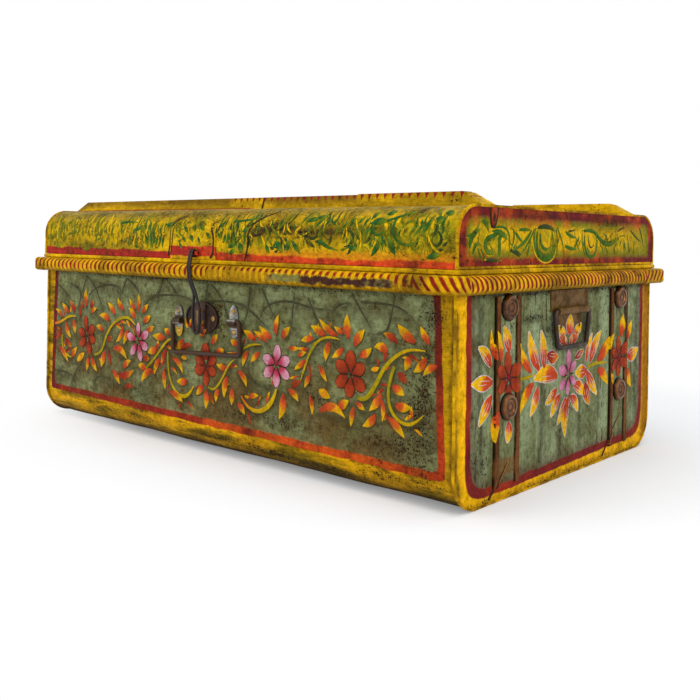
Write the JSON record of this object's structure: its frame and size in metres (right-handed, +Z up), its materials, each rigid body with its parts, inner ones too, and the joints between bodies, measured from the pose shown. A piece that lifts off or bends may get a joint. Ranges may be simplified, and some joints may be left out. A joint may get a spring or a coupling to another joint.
{
  "type": "travelling trunk",
  "caption": "Rectangular sheet-iron travelling trunk with a hinged flat lid, wire hasp and staple, moulded rim and wire drop handles, hand-painted with flowers and leaves.",
  "frame": {"origin": "on the floor under the middle of the trunk", "axes": "+X to the right along the length, +Y to the back where the hinges are, +Z up"},
  "size_m": [0.789, 0.516, 0.33],
  "materials": {
    "painted_body": "hand-painted oil enamel, worn",
    "painted_lid": "hand-painted oil enamel, worn",
    "yellow_trim": "yellow enamel with maroon ticks, worn",
    "dark_iron": "darkened iron wire and patch",
    "zinc": "dull zinc sheet",
    "brass": "dull brass",
    "bronze": "bronze-brown paint over pressed iron, worn",
    "back_iron": "brown paint on iron, worn"
  },
  "bodies": {
    "trunk": {"body_end_left": "painted_body", "body_end_right": "painted_body", "body_wrap": "painted_body", "front_clip_left": "zinc", "front_clip_right": "zinc", "front_clip_rivets": "brass", "hasp_boss": "bronze", "hasp_boss_rivet": "brass", "hasp_staple": "dark_iron", "hinge_body_rivets": "back_iron", "hinge_left_body_leaf": "back_iron", "hinge_left_pin": "back_iron", "hinge_right_body_leaf": "back_iron", "hinge_right_pin": "back_iron", "left_handle_plate": "bronze", "left_handle_rivets": "bronze", "left_strap_back": "bronze", "left_strap_buttons": "bronze", "left_strap_front": "bronze", "panel_nails": "dark_iron", "right_handle_plate": "bronze", "right_handle_rivets": "bronze", "right_strap_back": "bronze", "right_strap_buttons": "bronze", "right_strap_front": "bronze", "rim_back": "yellow_trim", "rim_corner_back_left": "yellow_trim", "rim_corner_back_right": "yellow_trim", "rim_corner_front_left": "yellow_trim", "rim_corner_front_right": "yellow_trim", "rim_front": "yellow_trim", "rim_left": "yellow_trim", "rim_right": "yellow_trim", "rim_rod": "dark_iron"},
    "lid": {"hasp_pin": "dark_iron", "hasp_plate": "dark_iron", "hinge_left_lid_leaf": "back_iron", "hinge_lid_rivets": "back_iron", "hinge_right_lid_leaf": "back_iron", "lid_end_left": "painted_lid", "lid_end_right": "painted_lid", "lid_ledge": "yellow_trim", "lid_wrap": "painted_lid", "rail_back_cap_left": "yellow_trim", "rail_back_cap_right": "yellow_trim", "rail_back_left": "yellow_trim", "rail_back_middle": "yellow_trim", "rail_back_right": "yellow_trim", "rail_front_cap_left": "yellow_trim", "rail_front_cap_right": "yellow_trim", "rail_front_left": "yellow_trim", "rail_front_middle": "yellow_trim", "rail_front_right": "yellow_trim"},
    "hasp": {"hasp_link": "dark_iron"},
    "front_handle": {"front_bail": "dark_iron"},
    "left_handle": {"left_bail": "dark_iron"},
    "right_handle": {"right_bail": "dark_iron"}
  },
  "joints": [
    {"name": "lid_hinge", "type": "hinge", "parent": "trunk", "child": "lid", "pos_m": [0, 0.256, 0.243], "axis": [-1, 0, 0], "range_deg": [0, 100]},
    {"name": "hasp_swing", "type": "hinge", "parent": "lid", "child": "hasp", "pos_m": [-0.02, -0.2436, 0.25668], "axis": [-1, 0, 0], "range_deg": [0, 110]},
    {"name": "front_handle_swing", "type": "hinge", "parent": "trunk", "child": "front_handle", "pos_m": [0, -0.24005, 0.1698], "axis": [-0.9986, 0, -0.0523], "range_deg": [0, 100]},
    {"name": "right_handle_swing", "type": "hinge", "parent": "trunk", "child": "right_handle", "pos_m": [0.3846, 0.0025, 0.197], "axis": [0, -1, 0], "range_deg": [0, 100]},
    {"name": "left_handle_swing", "type": "hinge", "parent": "trunk", "child": "left_handle", "pos_m": [-0.3846, 0.0025, 0.197], "axis": [0, 1, 0], "range_deg": [0, 100]}
  ]
}
